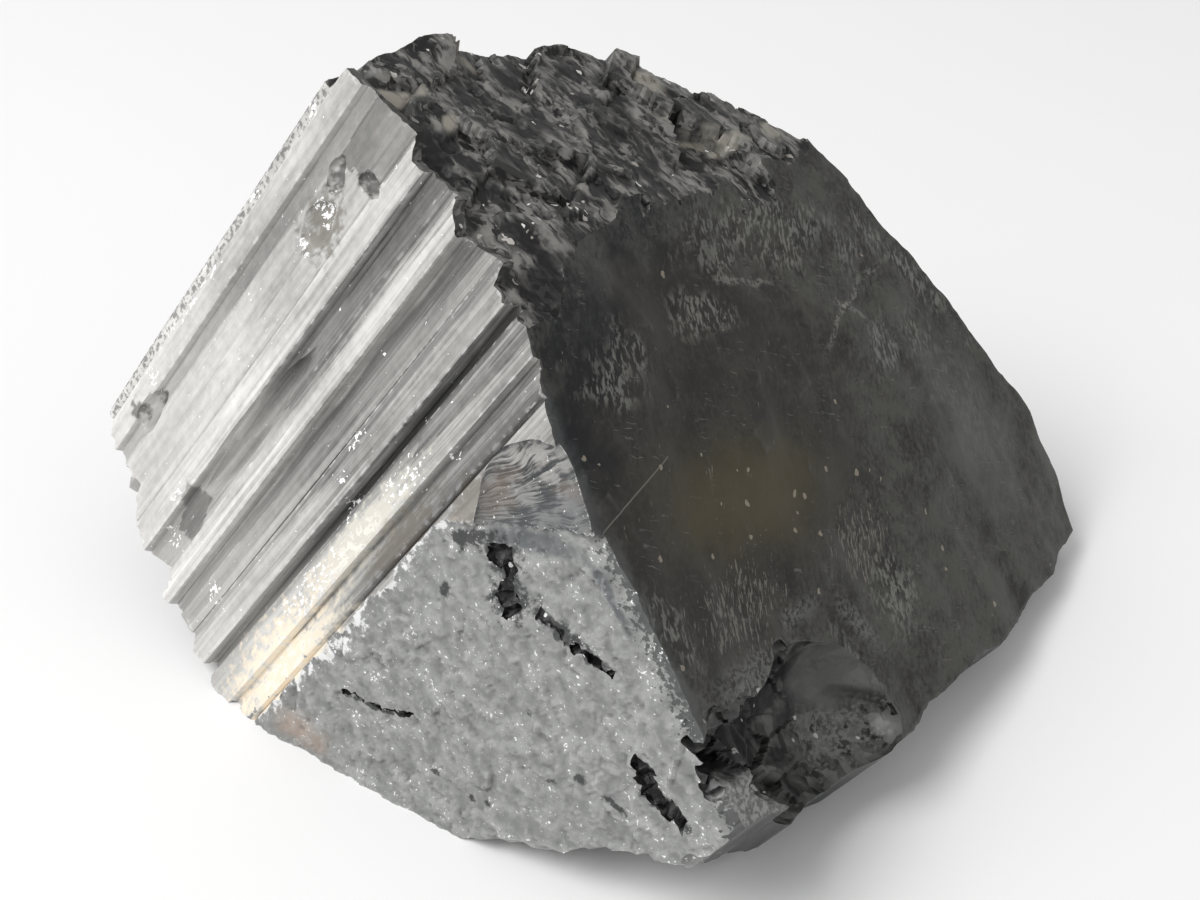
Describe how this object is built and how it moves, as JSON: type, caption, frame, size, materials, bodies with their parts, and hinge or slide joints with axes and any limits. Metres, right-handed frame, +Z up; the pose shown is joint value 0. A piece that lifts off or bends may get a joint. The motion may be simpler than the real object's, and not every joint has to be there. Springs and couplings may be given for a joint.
{
  "type": "tourmaline crystal",
  "caption": "Broken length of a black tourmaline prism with one striated face, a large dark break, a rough top and a grainy front, resting on a flat base.",
  "frame": {"origin": "on the surface the stone rests on, under the middle of its box", "axes": "+Z up; +X along the stone's longest side, from the striated face towards the thin end of the dark break; +Y away from a viewer who sees both"},
  "size_m": [0.057, 0.0454, 0.0345],
  "materials": {
    "tourmaline": "satin"
  },
  "bodies": {
    "root": {"tourmaline_crystal": "tourmaline"}
  },
  "joints": []
}
